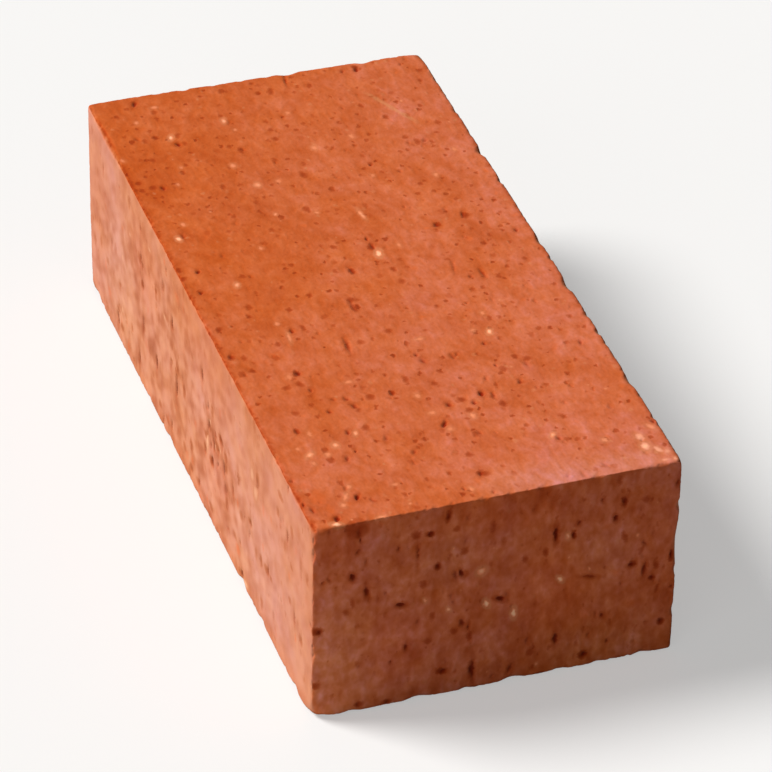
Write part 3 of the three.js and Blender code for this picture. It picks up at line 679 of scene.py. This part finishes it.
for name, values in (
    ("pit", np.clip(pit / 0.55, 0, 1)),
    ("pit_halo", np.clip(pit_halo / 0.7, 0, 1)),
    ("grain", np.clip(grain, 0, 1)),
    ("grain_halo", np.clip(grain_halo, 0, 1)),
    ("ochre", np.clip(ochre_at, 0, 1)),
    ("stain_and_shade", np.clip(stain_at, 0, 1.2)),
    # painted shade along the arrises between the beds and the stretchers
    ("rim", np.clip(4 * on_bed * on_flank, 0, 1) + 0.5 * on_bed * (1 - smooth(gap[:, 1], 0.4, 1.8))),
    ("bed", on_bed),
    ("end", on_end),
    ("flank", on_flank),
    ("skin", skin),
):
    layer = mesh.attributes.new(name, "FLOAT", "POINT")
    layer.data.foreach_set("value", values.astype(np.float32))

# One flat patch of texture for each face, laid out in a square.
GAP = 1.4
placed = {                                   # corner of the patch and its scale, in millimetres
    "top": (GAP, GAP, 1.0, False),
    "front": (GAP, 92 + 2 * GAP, 1.0, False),
    "back": (GAP, 149 + 3 * GAP, 1.0, False),
    "head": (194 + 2 * GAP, GAP, 1.0, True),
    "tail": (194 + 2 * GAP, 92 + 2 * GAP, 1.0, True),
    "bottom": (GAP, 206 + 4 * GAP, 0.57, False),
}
SHEET = 206 + 5 * GAP + 92 * 0.57
uv = np.zeros((len(tris) * 3, 2))
flat = points[tris.ravel()]
loop_face = np.repeat(owner, 3)
for name, axis, side, u, v in FACES:
    pick = loop_face == FACE_ID[name]
    x0, y0, scale, turned = placed[name]
    a = flat[pick, u] - LOW[u]
    b = flat[pick, v] - LOW[v]
    if turned:
        a, b = b, a
    uv[pick, 0] = (x0 + a * scale) / SHEET
    uv[pick, 1] = (y0 + b * scale) / SHEET
layer = mesh.uv_layers.new(name="OFBake")
layer.data.foreach_set("uv", uv.astype(np.float32).ravel())

brick = bpy.data.objects.new("clay_brick", mesh)
bpy.context.scene.collection.objects.link(brick)

# ---------------------------------------------------------------------------
# Fired clay
# ---------------------------------------------------------------------------


class Net:
    """Short names for the nodes of one material."""

    def __init__(self, name):
        self.mat = bpy.data.materials.new(name)
        self.mat.use_nodes = True
        self.tree = self.mat.node_tree
        self.tree.nodes.clear()

    def add(self, kind, **props):
        n = self.tree.nodes.new(kind)
        for k, v in props.items():
            setattr(n, k, v)
        return n

    def put(self, socket, value):
        if isinstance(value, bpy.types.NodeSocket):
            self.tree.links.new(value, socket)
        else:
            socket.default_value = value

    def math(self, op, a, b=None, c=None, clamp=False):
        n = self.add("ShaderNodeMath", operation=op, use_clamp=clamp)
        for i, v in enumerate((a, b, c)):
            if v is not None:
                self.put(n.inputs[i], v)
        return n.outputs[0]

    def scaled(self, vector, by, shift=(0, 0, 0)):
        n = self.add("ShaderNodeVectorMath", operation="MULTIPLY_ADD")
        self.put(n.inputs[0], vector)
        n.inputs[1].default_value = by
        n.inputs[2].default_value = shift
        return n.outputs[0]

    def turned(self, vector, degrees):
        n = self.add("ShaderNodeVectorRotate", rotation_type="Y_AXIS")
        self.put(n.inputs["Vector"], vector)
        n.inputs["Angle"].default_value = math.radians(degrees)
        return n.outputs[0]

    def noise(self, vector, scale, detail=2.0, rough=0.5, distort=0.0):
        n = self.add("ShaderNodeTexNoise")
        self.put(n.inputs["Vector"], vector)
        n.inputs["Scale"].default_value = scale
        n.inputs["Detail"].default_value = detail
        n.inputs["Roughness"].default_value = rough
        n.inputs["Distortion"].default_value = distort
        return n.outputs["Fac"]

    def span(self, value, a, b, to_a=0.0, to_b=1.0, soft=True):
        n = self.add("ShaderNodeMapRange", clamp=True)
        n.interpolation_type = "SMOOTHSTEP" if soft else "LINEAR"
        self.put(n.inputs["Value"], value)
        n.inputs["From Min"].default_value = a
        n.inputs["From Max"].default_value = b
        n.inputs["To Min"].default_value = to_a
        n.inputs["To Max"].default_value = to_b
        return n.outputs["Result"]

    def mix(self, fac, a, b, mode="MIX"):
        n = self.add("ShaderNodeMix", data_type="RGBA", blend_type=mode)
        self.put(n.inputs[0], fac)
        self.put(n.inputs[6], a)
        self.put(n.inputs[7], b)
        return n.outputs[2]

    def cells(self, vector, scale):
        n = self.add("ShaderNodeTexVoronoi", feature="F1")
        self.put(n.inputs["Vector"], vector)
        n.inputs["Scale"].default_value = scale
        split = self.add("ShaderNodeSeparateColor")
        self.tree.links.new(n.outputs["Color"], split.inputs[0])
        return n.outputs["Distance"], split.outputs[0], split.outputs[1]

    def attribute(self, name):
        return self.add("ShaderNodeAttribute", attribute_name=name).outputs["Fac"]


def specks(net, vector, spacing, chance, small, large, soft, least=0.3, power=1.0):
    """Grains at random, one in each cell of the given spacing, in that share of the cells. Each has a size and a strength of its own."""
    dist, r0, r1 = net.cells(vector, 1.0 / spacing)
    size = net.span(r1, 0, 1, small / spacing, large / spacing, soft=False)
    ratio = net.math("DIVIDE", dist, size)
    here = net.span(ratio, 1.0 - soft, 1.0, 1, 0)
    strength = net.math("POWER", net.span(r0, 0, chance, 1.0, least, soft=False), power)
    strength = net.math("MULTIPLY", strength, net.math("LESS_THAN", r0, chance))
    return net.math("MULTIPLY", here, strength)


net = Net("fired_clay")
coords = net.add("ShaderNodeTexCoord").outputs["Object"]
mm = net.scaled(coords, (1000, 1000, 1000))
pit_at, pit_halo_at = net.attribute("pit"), net.attribute("pit_halo")
grain_at, grain_halo_at = net.attribute("grain"), net.attribute("grain_halo")
ochre_mask, arris_shade_at = net.attribute("ochre"), net.attribute("rim")
stain_mask = net.attribute("stain_and_shade")
bed_at, end_at = net.attribute("bed"), net.attribute("end")
flank_at, skin_and_sheen_at = net.attribute("flank"), net.attribute("skin")
split = net.add("ShaderNodeSeparateXYZ")
net.tree.links.new(mm, split.inputs[0])
x_mm, y_mm, z_mm = split.outputs

# One tone runs through the clay: below 0 a darker, stronger red, above 0 a paler
# pink. It wanders at every scale from a hand's width down to single grains.
CLAY = (0.552, 0.120, 0.0385)
TONE = (0.25, 0.60, 1.40)
WASH = (0.12, 0.46, 1.60)
DARK = (-0.52, -1.08, -1.70)     # how a stain, or the painted arris shade, darkens the clay
SKIN_AND_SHEEN = (0.075, 0.545, 1.06)        # how the stretchers' skin and painted grazing sheen lighten it
STREAK = (0.36, 0.70, 0.98)      # how its drag marks vary
HEADER_LIGHT_AND_SHADE = (0.11, 0.13, 0.09)        # painted light and shade on the header: a little more or less of the clay's own colour
HUE = (0.14, 0.20, -0.10)        # how the clay wanders between brown and pink


def toned(value, least, most, vector, base=(1, 1, 1), steps=9):
    """A colour that follows value from base * e^(vector * least) to base * e^(vector * most)."""
    n = net.add("ShaderNodeValToRGB")
    n.color_ramp.interpolation = "LINEAR"
    stops = n.color_ramp.elements
    for k in range(steps):
        at = k / (steps - 1)
        t = least + (most - least) * at
        stop = stops[k] if k < 2 else stops.new(at)
        stop.position = at
        stop.color = tuple(base[c] * math.exp(vector[c] * t) for c in range(3)) + (1,)
    for k in range(steps):
        at = k / (steps - 1)
        stops[k].position = at
        t = least + (most - least) * at
        stops[k].color = tuple(base[c] * math.exp(vector[c] * t) for c in range(3)) + (1,)
    net.put(n.inputs[0], net.span(value, least, most, soft=False))
    return n.outputs[0]


def add(*terms):
    """The sum of (value, centre, weight) terms, each value counted from its centre."""
    total = None
    for value, centre, weight in terms:
        part = net.math("MULTIPLY", net.math("SUBTRACT", value, centre), weight)
        total = part if total is None else net.math("ADD", total, part)
    return total


def patches(u, v, table):
    """Broad soft patches: (u, v, half extents, how much)."""
    total = None
    for u0, v0, ru, rv, much in table:
        a = net.math("POWER", net.math("ABSOLUTE", add((u, u0, 1 / ru))), 2.0)
        b = net.math("POWER", net.math("ABSOLUTE", add((v, v0, 1 / rv))), 2.0)
        here = net.span(net.math("ADD", a, b), 0, 1, much, 0)
        total = here if total is None else net.math("ADD", total, here)
    return total


broad = net.noise(mm, 1 / 46, 2, 0.5)
cloud = net.noise(net.scaled(mm, (1 / 1.3, 1, 1), (1, 1, 1)), 1 / 12, 1, 0.9)
blotch = net.noise(net.scaled(mm, (1 / 1.5, 1, 1 / 1.5), (31, 7, 5)), 1 / 3.6, 1, 0.9)
fine = net.noise(net.scaled(mm, (1 / 1.15, 1, 1 / 1.25), (3, 17, 9)), 1 / 1.7, 1, 0.8)
dust = net.noise(net.scaled(mm, (1, 1, 1), (5, 9, 2)), 1 / 0.7, 2, 0.6)
drag = net.noise(net.scaled(mm, (1 / 4.6, 1 / 3.8, 1 / 6.0)), 1.0, 1, 0.4, 0.5)
long_drag = net.noise(net.scaled(mm, (1 / 6.0, 1 / 3.4, 1 / 24), (8, 2, 6)), 1.0, 1, 0.5, 0.3)
side_cloud = net.noise(net.scaled(mm, (1 / 11, 1 / 11, 1 / 15), (6, 1, 2)), 1.0, 1, 0.7)
slant = net.turned(mm, 33)
side_blotch = net.noise(net.scaled(slant, (1 / 4.8, 1 / 3.6, 1 / 3.4), (9, 5, 3)), 1.0, 0.6, 0.5)
hue = net.noise(net.scaled(mm, (1, 1, 1), (13, 4, 8)), 1 / 7.5, 1, 0.7)
wire = net.noise(net.scaled(mm, (1 / 16, 1 / 1.6, 1 / 1.6), (4, 4, 4)), 1.0, 2, 0.6)

# Marks look a little to one side for themselves, so that their outlines are ragged.
shake = net.add("ShaderNodeTexNoise")
net.put(shake.inputs["Vector"], mm)
shake.inputs["Scale"].default_value = 1 / 1.2
shake.inputs["Detail"].default_value = 1.0
ragged_mm = net.add("ShaderNodeVectorMath", operation="MULTIPLY_ADD")
net.put(ragged_mm.inputs[0], shake.outputs["Color"])
ragged_mm.inputs[1].default_value = (1.3, 1.3, 1.3)
net.put(ragged_mm.inputs[2], net.scaled(mm, (1, 1, 1), (-0.65, -0.65, -0.65)))
ragged_mm = ragged_mm.outputs[0]

big_spots = specks(net, net.scaled(ragged_mm, (1 / 1.35, 1, 1 / 1.8)), 3.3, 0.60, 0.6, 1.3, 0.7, 0.35, 1.8)
small_spots = specks(net, net.scaled(ragged_mm, (1 / 1.15, 1, 1 / 1.7), (7, 3, 1)), 2.2, 0.45, 0.5, 0.95, 0.7, 0.35, 2.0)
dashes = specks(net, net.scaled(ragged_mm, (1 / 2, 1, 1 / 3.4), (2, 9, 4)), 3.0, 0.60, 0.45, 1.10, 0.85, 0.35, 1.8)
smudges = specks(net, net.scaled(ragged_mm, (1 / 1.2, 1, 1 / 2.2), (12, 3, 31)), 7.0, 0.50, 1.0, 2.1, 0.95, 0.35, 1.4)
pale_specks = specks(net, net.scaled(ragged_mm, (1 / 1.3, 1, 1 / 1.5), (50, 20, 10)), 2.8, 0.50, 0.35, 0.9, 0.7)
ember_specks = specks(net, net.scaled(ragged_mm, (1, 1, 1 / 1.8), (20, 70, 30)), 5.2, 0.5, 0.5, 1.6, 0.95)

tone = add((cloud, 0.5, 1.15), (blotch, 0.5, 1.25), (fine, 0.5, 0.75), (dust, 0.5, 0.2))
tone = net.math("ADD", tone, net.math("MULTIPLY", end_at, add((blotch, 0.5, 0.20), (fine, 0.5, 0.45), (cloud, 0.5, -0.75))))
tone = net.math("MULTIPLY", tone, net.math("SUBTRACT", 1.0, flank_at))
tone = net.math("ADD", tone, net.math("MULTIPLY", bed_at, add((wire, 0.5, 0.2))))
# Painted light: the header grows paler towards its -Y side.
tone = net.math("SUBTRACT", tone, net.math("MULTIPLY", end_at, net.math("MULTIPLY", y_mm, 0.0040)))
colour = toned(tone, -1.1, 1.1, TONE, CLAY)
# The stretchers are streaked most in the middle, and are calm towards their ends and their top.
vivid = net.math("ADD", patches(x_mm, z_mm, ((-20, 19, 96, 42, 0.80),)), 0.52)
streak = add((drag, 0.5, 0.85), (long_drag, 0.5, 0.35), (side_cloud, 0.5, 1.45), (side_blotch, 0.5, 1.50))
streak = net.math("MULTIPLY", net.math("MULTIPLY", flank_at, vivid), streak)
streak = net.math("MINIMUM", streak, add((streak, -0.16, 0.45)))      # its pale side is held back
streak = net.math("ADD", streak, net.math("MULTIPLY", flank_at, 0.03))
streak = net.math("ADD", streak, net.math("MULTIPLY", end_at, add((drag, 0.5, 1.1), (long_drag, 0.5, 0.4), (cloud, 0.5, 0.75), (blotch, 0.5, 0.15))))
colour = net.mix(1.0, colour, toned(streak, -1.0, 1.0, STREAK), "MULTIPLY")

# Painted sheen: the top bed is a stronger orange towards its -X -Y corner and paler towards +X +Y, and paler still
# along parts of its far header arris. The broad noise is the clay's own tone.
lean = net.math("ADD", net.math("MULTIPLY", y_mm, 0.0055), net.math("MULTIPLY", net.span(x_mm, -97, 62, -97, 62, soft=False), 0.0026))
twist = net.math("MULTIPLY", net.span(net.math("ABSOLUTE", x_mm), 58, 90, 0.00006, 0), net.math("MULTIPLY", x_mm, y_mm))
lean = net.math("SUBTRACT", lean, twist)
off = net.math("ABSOLUTE", net.math("SUBTRACT", y_mm, 12.0))
sheen_bloom = net.math("MULTIPLY", net.span(x_mm, 85, 94, 0, 0.10), net.span(off, 4, 18, 1, 0))
lean = net.math("ADD", lean, sheen_bloom)
off = net.math("ABSOLUTE", net.math("SUBTRACT", y_mm, 21.0))
sheen_haze = net.math("MULTIPLY", net.span(x_mm, 83, 94.0, 0, 0.38), net.span(off, 16, 30, 1, 0))
lean = net.math("ADD", net.math("MULTIPLY", lean, bed_at), add((broad, 0.5, 0.8)))
# Painted light: the whole header is given a paler, bluer cast.
lean = net.math("ADD", lean, net.math("MULTIPLY", end_at, 0.12))
# On the header, a paler patch up the +Y arris, and a band beside it that is stronger.
patch = net.math("MULTIPLY", net.span(y_mm, 28, 44, 0, 0.28), net.span(z_mm, 12, 40, 0, 1))
off = net.math("ABSOLUTE", net.math("SUBTRACT", y_mm, 16.0))
patch = net.math("SUBTRACT", patch, net.span(off, 3, 16, 0.20, 0))
lean = net.math("ADD", lean, net.math("MULTIPLY", end_at, patch))
lean = net.math("ADD", lean, net.math("MULTIPLY", flank_at, net.span(x_mm, -50, -85, 0, 0.09)))
colour = net.mix(1.0, colour, toned(lean, -0.6, 0.6, WASH), "MULTIPLY")
# The stretchers' pale skin with its painted grazing sheen.
colour = net.mix(1.0, colour, toned(skin_and_sheen_at, 0, 1, SKIN_AND_SHEEN, steps=5), "MULTIPLY")
# The skin and the fired face of the header are thicker in some places and thinner in others.
thick = net.math("MULTIPLY", flank_at, patches(x_mm, z_mm, (
    (66, 10, 48, 28, 0.14), (-66, 16, 22, 30, 0.16), (8, 54, 36, 22, -0.26), (-43, 39, 18, 16, -0.26), (20, 21, 20, 16, -0.20),
    (-92, 36, 18, 32, -0.11),
)))
thick = net.math("ADD", thick, net.math("MULTIPLY", end_at, patches(y_mm, z_mm, (
    (13, 26, 13, 14, -0.24), (-26, 18, 12, 13, -0.24), (-38, 16, 11, 28, 0.32), (24, 6, 16, 10, 0.22), (4, 54, 20, 11, -0.26), (-40, 54, 12, 10, -0.36), (-42, 42, 10, 11, -0.12), (-13, 40, 9, 10, 0.24), (26, 34, 12, 12, 0.20),
))))
# Painted sheen: the band along the top's header arris is paled further.
thick = net.math("ADD", thick, net.math("MULTIPLY", bed_at, sheen_haze))
colour = net.mix(1.0, colour, toned(thick, -0.5, 0.5, SKIN_AND_SHEEN, steps=7), "MULTIPLY")
# Painted light and shade: the header is lighter along its foot and low down on its -Y side, and darker at its top.
header_light_and_shade = net.math("MULTIPLY", net.span(y_mm, -24, -44, 0, 2.2), net.span(z_mm, 52, 24, 0, 1))
header_light_and_shade = net.math("ADD", header_light_and_shade, net.span(z_mm, 14, 2, 0, 0.5))
header_light_and_shade = net.math("SUBTRACT", header_light_and_shade, net.math("MULTIPLY", net.span(y_mm, -20, 30, 0, 0.7), net.span(z_mm, 36, 54, 0, 1)))
colour = net.mix(1.0, colour, toned(net.math("MULTIPLY", header_light_and_shade, end_at), -0.7, 2.3, HEADER_LIGHT_AND_SHADE, steps=5), "MULTIPLY")
hue = net.math("MULTIPLY", add((hue, 0.5, 1.0)), net.math("ADD", 1.0, net.math("MULTIPLY", end_at, 0.4)))
colour = net.mix(1.0, colour, toned(hue, -0.7, 0.7, HUE, steps=7), "MULTIPLY")

PALE = (0.660, 0.270, 0.125, 1)
PIT_DIRT_AND_SHADE = (0.240, 0.012, 0.0006, 1)
PEACH = (0.780, 0.230, 0.102, 1)
CREAM = (0.960, 0.520, 0.300, 1)
EMBER = (0.700, 0.125, 0.025, 1)

colour = net.mix(net.math("MULTIPLY", ember_specks, 0.45), colour, EMBER)
colour = net.mix(net.math("MULTIPLY", ochre_mask, 0.8), colour, EMBER)
colour = net.mix(net.math("MULTIPLY", pale_specks, 0.28), colour, PALE)

# One long faint scrape crosses the top near its -X +Y corner.
way = (0.905, 0.425)
ahead = add((x_mm, -71.6, way[0]), (y_mm, 29.9, way[1]))
aside = net.math("ADD", add((x_mm, -71.6, -way[1]), (y_mm, 29.9, way[0])), add((fine, 0.5, 1.2)))
scrape = net.math("MULTIPLY", net.span(net.math("ABSOLUTE", ahead), 6, 12, 1, 0), net.span(net.math("ABSOLUTE", aside), 0.1, 1.1, 0.45, 0))
colour = net.mix(net.math("MULTIPLY", scrape, bed_at), colour, (0.62, 0.26, 0.11, 1))

# Stains: soft red-brown spots everywhere, drawn out into dashes on the sides, and one round every pit. Painted shade is
# added along the arrises where the beds meet the stretchers, to damp their highlight.
spots = net.math("MAXIMUM", net.math("MULTIPLY", big_spots, 1.0), net.math("MULTIPLY", small_spots, 0.85))
spots = net.math("MULTIPLY", spots, add((end_at, -0.40, 0.95), (bed_at, 0, 0.68)))
# Spots are thinned out under the painted sheen band.
spots = net.math("MULTIPLY", spots, net.span(net.math("MULTIPLY", sheen_haze, bed_at), 0.05, 0.30, 1, 0.35))
most = net.math("MULTIPLY", flank_at, vivid)
dash = net.math("MULTIPLY", dashes, add((most, 0, 1.75), (end_at, 0, 0.85)))
dash = net.math("MAXIMUM", dash, net.math("MULTIPLY", net.math("MULTIPLY", smudges, most), 0.55))
stain_and_shade = net.math("MAXIMUM", net.math("MAXIMUM", spots, dash), net.math("MULTIPLY", stain_mask, 1.0))
stain_and_shade = net.math("ADD", stain_and_shade, net.math("MULTIPLY", pit_halo_at, add((end_at, -1.8, 0.25))))
# Painted shade on those arrises, which damps the highlight the key light puts there.
arris_shade_dark = net.math("MULTIPLY", arris_shade_at, net.span(fine, 0.35, 0.65, 1.0, 0.45))
stain_and_shade = net.math("ADD", stain_and_shade, arris_shade_dark)
stain_and_shade = net.math("MULTIPLY", stain_and_shade, net.math("SUBTRACT", 1.0, net.math("MULTIPLY", flank_at, 0.32)))
colour = net.mix(1.0, colour, toned(stain_and_shade, 0, 1.4, DARK), "MULTIPLY")
# Pits are filled with a dark red-brown, partly dirt and partly painted shade in the hollow.
pit_dirt_and_shade = net.mix(flank_at, PIT_DIRT_AND_SHADE, (0.210, 0.040, 0.018, 1))
depth = net.math("MULTIPLY", net.span(pit_at, 0.10, 0.95, 0, 0.95), net.math("SUBTRACT", 1.0, net.math("MULTIPLY", end_at, 0.12)))
colour = net.mix(depth, colour, pit_dirt_and_shade)
# Painted shade: the header's pits are darkened further towards black.
shade = net.math("MULTIPLY", net.math("MULTIPLY", pit_at, end_at), 0.32)
colour = net.mix(shade, colour, (0.02, 0.004, 0.002, 1))
colour = net.mix(net.span(grain_halo_at, 0.02, 0.75, 0, 0.40), colour, PALE)
peach = net.mix(flank_at, PEACH, (0.740, 0.330, 0.190, 1))
pinker = net.math("MULTIPLY", net.math("MULTIPLY", net.span(x_mm, 78, 86, 0, 1), net.span(y_mm, 28, 38, 0, 1)), bed_at)
peach = net.mix(pinker, peach, (0.780, 0.290, 0.175, 1))
colour = net.mix(net.span(grain_at, 0.05, 0.45, 0, 1.0), colour, peach)
colour = net.mix(net.span(grain_at, 0.32, 0.95, 0, 1.0), colour, CREAM)

# relief finer than the mesh, in millimetres
height = add((fine, 0.5, 0.14), (dust, 0.5, 0.03))
height = net.math("MULTIPLY", height, net.math("SUBTRACT", 1.0, net.math("MULTIPLY", flank_at, 0.75)))
height = net.math("ADD", height, add((blotch, 0.5, 0.20)))
height = net.math("ADD", height, net.math("MULTIPLY", net.math("ADD", flank_at, net.math("MULTIPLY", end_at, 0.8)), add((drag, 0.5, 0.10))))
height = net.math("ADD", height, net.math("MULTIPLY", bed_at, add((wire, 0.5, 0.03))))
height = net.math("SUBTRACT", height, net.math("MULTIPLY", stain_and_shade, 0.10))
bump = net.add("ShaderNodeBump")
bump.inputs["Strength"].default_value = 1.0
bump.inputs["Distance"].default_value = 0.001
net.put(bump.inputs["Height"], height)

roughness = net.span(fine, 0.3, 0.7, 0.84, 0.97)
roughness = net.math("SUBTRACT", roughness, net.math("MULTIPLY", grain_at, 0.20))

shader = net.add("ShaderNodeBsdfPrincipled")
net.put(shader.inputs["Base Color"], colour)
net.put(shader.inputs["Roughness"], roughness)
net.put(shader.inputs["Normal"], bump.outputs["Normal"])
shader.inputs["Specular IOR Level"].default_value = 0.04
shader.inputs["Sheen Weight"].default_value = 0.14
shader.inputs["Sheen Roughness"].default_value = 0.45
shader.inputs["Sheen Tint"].default_value = (1.0, 0.85, 0.50, 1)
out = net.add("ShaderNodeOutputMaterial")
net.tree.links.new(shader.outputs[0], out.inputs["Surface"])

mesh.materials.append(net.mat)
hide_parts("brick")
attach(brick, "root")

# ---------------------------------------------------------------------------
# Floor, light and camera
# ---------------------------------------------------------------------------

# The floor is lit from within for the camera alone, so that its shadows stay
# soft and pale, and it throws back only a little light on the brick.
stone = Net("pale_floor")
pale = stone.add("ShaderNodeBsdfDiffuse")
pale.inputs["Color"].default_value = (0.46, 0.458, 0.455, 1)
glow = stone.add("ShaderNodeEmission")
glow.inputs["Color"].default_value = (0.41, 0.409, 0.406, 1)
shown_floor = stone.add("ShaderNodeAddShader")
dim = stone.add("ShaderNodeBsdfDiffuse")
dim.inputs["Color"].default_value = (0.40, 0.396, 0.39, 1)
floor_ray = stone.add("ShaderNodeLightPath")
floor_mix = stone.add("ShaderNodeMixShader")
floor_out = stone.add("ShaderNodeOutputMaterial")
stone.tree.links.new(pale.outputs[0], shown_floor.inputs[0])
stone.tree.links.new(glow.outputs[0], shown_floor.inputs[1])
stone.tree.links.new(floor_ray.outputs["Is Camera Ray"], floor_mix.inputs[0])
stone.tree.links.new(dim.outputs[0], floor_mix.inputs[1])
stone.tree.links.new(shown_floor.outputs[0], floor_mix.inputs[2])
stone.tree.links.new(floor_mix.outputs[0], floor_out.inputs["Surface"])

ground = bpy.data.meshes.new("studio_floor")
ring = [(9.0 * math.cos(a), 9.0 * math.sin(a), 0.0) for a in np.linspace(0, 2 * math.pi, 96, endpoint=False)]
ground.from_pydata([(0, 0, 0)] + ring, [], [(0, i + 1, (i + 1) % 96 + 1) for i in range(96)])
ground.materials.append(stone.mat)
floor = bpy.data.objects.new("studio_floor", ground)
bpy.context.scene.collection.objects.link(floor)

world = bpy.data.worlds.new("studio")
world.use_nodes = True
nodes, links = world.node_tree.nodes, world.node_tree.links
nodes.clear()
fill = nodes.new("ShaderNodeBackground")
fill.inputs["Color"].default_value = (1.0, 0.985, 0.97, 1)
fill.inputs["Strength"].default_value = 0.10
backdrop = nodes.new("ShaderNodeBackground")     # what a camera sees past the floor's edge
backdrop.inputs["Color"].default_value = (0.92, 0.917, 0.912, 1)
seen = nodes.new("ShaderNodeLightPath")
either = nodes.new("ShaderNodeMixShader")
links.new(seen.outputs["Is Camera Ray"], either.inputs[0])
links.new(fill.outputs[0], either.inputs[1])
links.new(backdrop.outputs[0], either.inputs[2])
world_out = nodes.new("ShaderNodeOutputWorld")
links.new(either.outputs[0], world_out.inputs["Surface"])
bpy.context.scene.world = world


def sun(name, towards, strength, degrees, colour):
    light = bpy.data.lights.new(name, "SUN")
    light.energy = strength
    light.angle = math.radians(degrees)
    light.color = colour
    obj = bpy.data.objects.new(name, light)
    obj.rotation_euler = Vector(towards).to_track_quat("Z", "Y").to_euler()
    bpy.context.scene.collection.objects.link(obj)
    return obj


sun("key", (-0.34, -0.60, 0.72), 4.3, 24, (1.0, 0.985, 0.965))
sun("fill", (0.66, -0.68, 0.30), 0.62, 50, (1.0, 0.98, 0.97))

camera_data = bpy.data.cameras.new("camera")
camera_data.sensor_width = 36.0
camera_data.sensor_fit = "HORIZONTAL"
camera_data.lens = 219.188
camera_data.clip_start = 0.05
camera_data.clip_end = 50.0
camera = bpy.data.objects.new("camera", camera_data)
bpy.context.scene.collection.objects.link(camera)
right = Vector((0.317989, 0.947972, 0.015217))
up = Vector((-0.554534, 0.172948, 0.813991))
back = Vector((0.769009, -0.267278, 0.580679))
place = Matrix((right, up, back)).transposed().to_4x4()
place.translation = (0.916574, -0.313583, 0.713258)
camera.matrix_world = place
bpy.context.scene.camera = camera
bpy.context.scene.view_settings.view_transform = "Standard"
